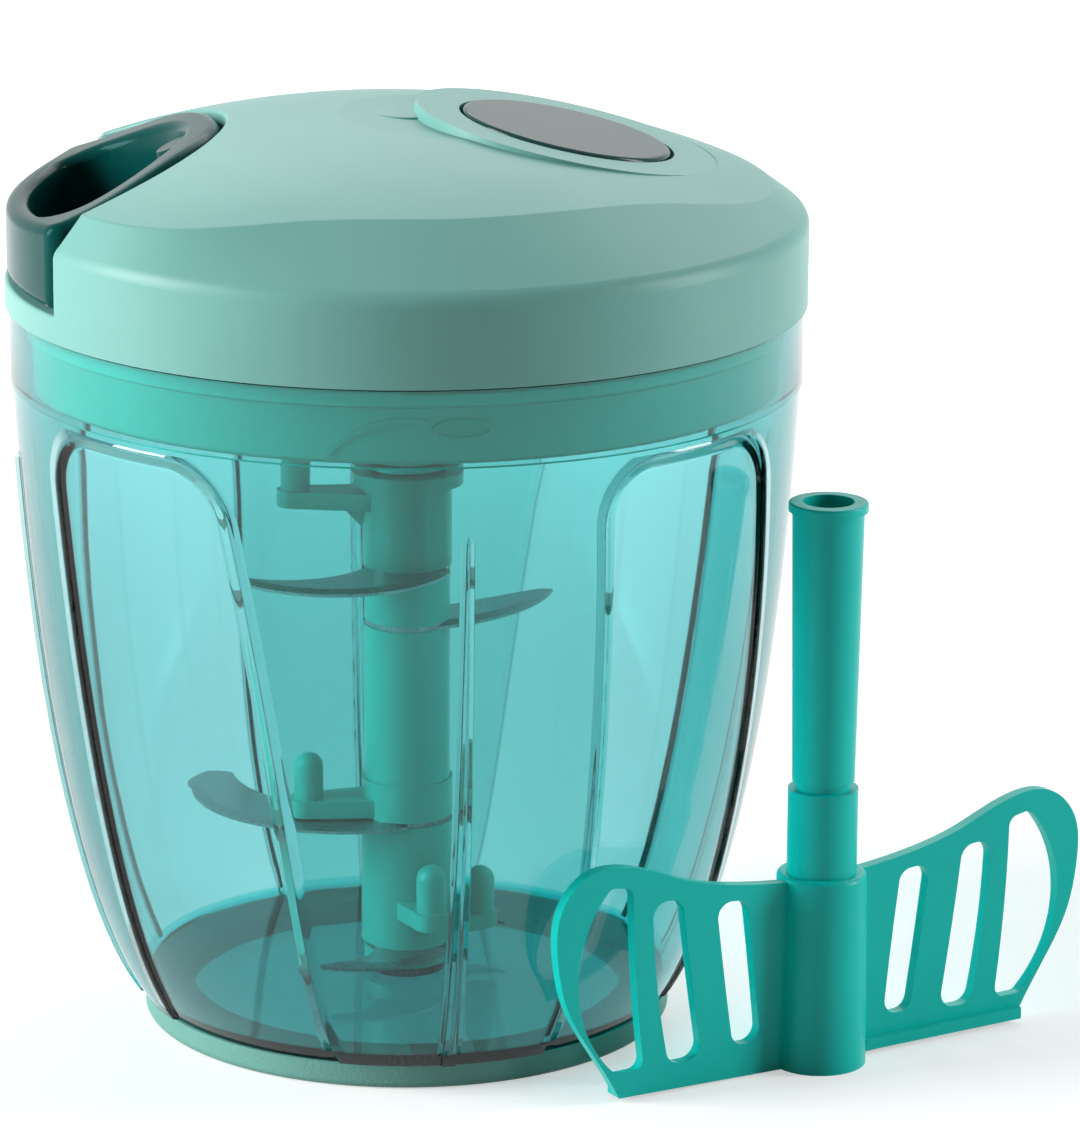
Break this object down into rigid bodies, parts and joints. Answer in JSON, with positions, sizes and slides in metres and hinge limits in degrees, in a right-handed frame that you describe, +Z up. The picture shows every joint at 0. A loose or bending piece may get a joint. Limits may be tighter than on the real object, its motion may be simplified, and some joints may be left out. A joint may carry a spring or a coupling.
{
  "type": "pull-cord food chopper",
  "caption": "Hand-pulled food chopper: clear bowl with a stacked blade unit, lid with a cord reel and pull handle, and a separate whisk.",
  "frame": {"origin": "on the bowl's axis at the underside of the base ring, where it stands on the table", "axes": "+Z up along the bowl's axis, -X the way the pull handle is drawn, +X the badge's side of the lid; the whisk stands beside the bowl towards +X and -Y"},
  "size_m": [0.1817, 0.134, 0.1577],
  "materials": {
    "clear_bowl": "clear, faintly teal, polished",
    "mint": "fine satin",
    "dark_green": "polished",
    "teal": "polished",
    "teal_clear": "clear, tinted",
    "rubber_green": "matt",
    "steel": "brushed",
    "white_plastic": "satin",
    "cord_white": "braided"
  },
  "bodies": {
    "bowl": {"bowl": "clear_bowl", "base_ring": "rubber_green", "bowl_pin": "steel"},
    "lid": {"lid_cover": "mint", "badge": "dark_green", "gear_housing": "teal", "seal_ring": "rubber_green", "cord_guide": "steel", "spring_arbor": "steel", "spiral_spring": "steel", "thrust_washer": "steel", "cord_lead": "cord_white", "housing_screw_1": "steel", "housing_screw_2": "steel", "housing_screw_3": "steel", "housing_screw_4": "steel", "housing_screw_5": "steel"},
    "handle": {"handle_upper": "dark_green", "handle_lower": "dark_green", "cord_end": "cord_white", "handle_screw_1": "steel", "handle_screw_2": "steel"},
    "reel": {"reel": "white_plastic", "spring_cap": "white_plastic", "drive_dog": "teal", "cord_winding": "cord_white"},
    "blade_unit": {"bottom_bush": "teal_clear", "lower_blade": "steel", "lower_spacer": "teal_clear", "middle_blade": "steel", "middle_spacer": "teal_clear", "upper_spacer": "teal_clear", "second_blade": "steel", "blade_spacer": "teal_clear", "upper_blade": "steel", "drive_socket": "teal_clear", "shaft_core": "steel"},
    "whisk": {"whisk_hub": "teal", "whisk_tube": "teal", "whisk_paddles": "teal"}
  },
  "joints": [
    {"name": "lid_lift", "type": "slide", "parent": "bowl", "child": "lid", "axis": [0, 0, 1], "range_m": [0, 0.08]},
    {"name": "handle_pull", "type": "slide", "parent": "lid", "child": "handle", "axis": [-1, 0, 0], "range_m": [0, 0.36], "stiffness_N_per_m": 15, "springref_m": -0.1},
    {"name": "reel_spin", "type": "hinge", "parent": "lid", "child": "reel", "pos_m": [0, 0, 0.137], "axis": [0, 0, 1], "range_deg": [0, 1032]},
    {"name": "blade_spin", "type": "hinge", "parent": "bowl", "child": "blade_unit", "pos_m": [0, 0, 0.0085], "axis": [0, 0, 1], "range_deg": [0, 1032]},
    {"name": "whisk_lift", "type": "slide", "parent": "bowl", "child": "whisk", "axis": [0, -0.6, 0.8], "range_m": [0, 0.12]}
  ],
  "couplings": [
    {"joint": "reel_spin", "follows": "handle_pull", "rad_per_m": 50},
    {"joint": "blade_spin", "follows": "handle_pull", "rad_per_m": 50}
  ]
}
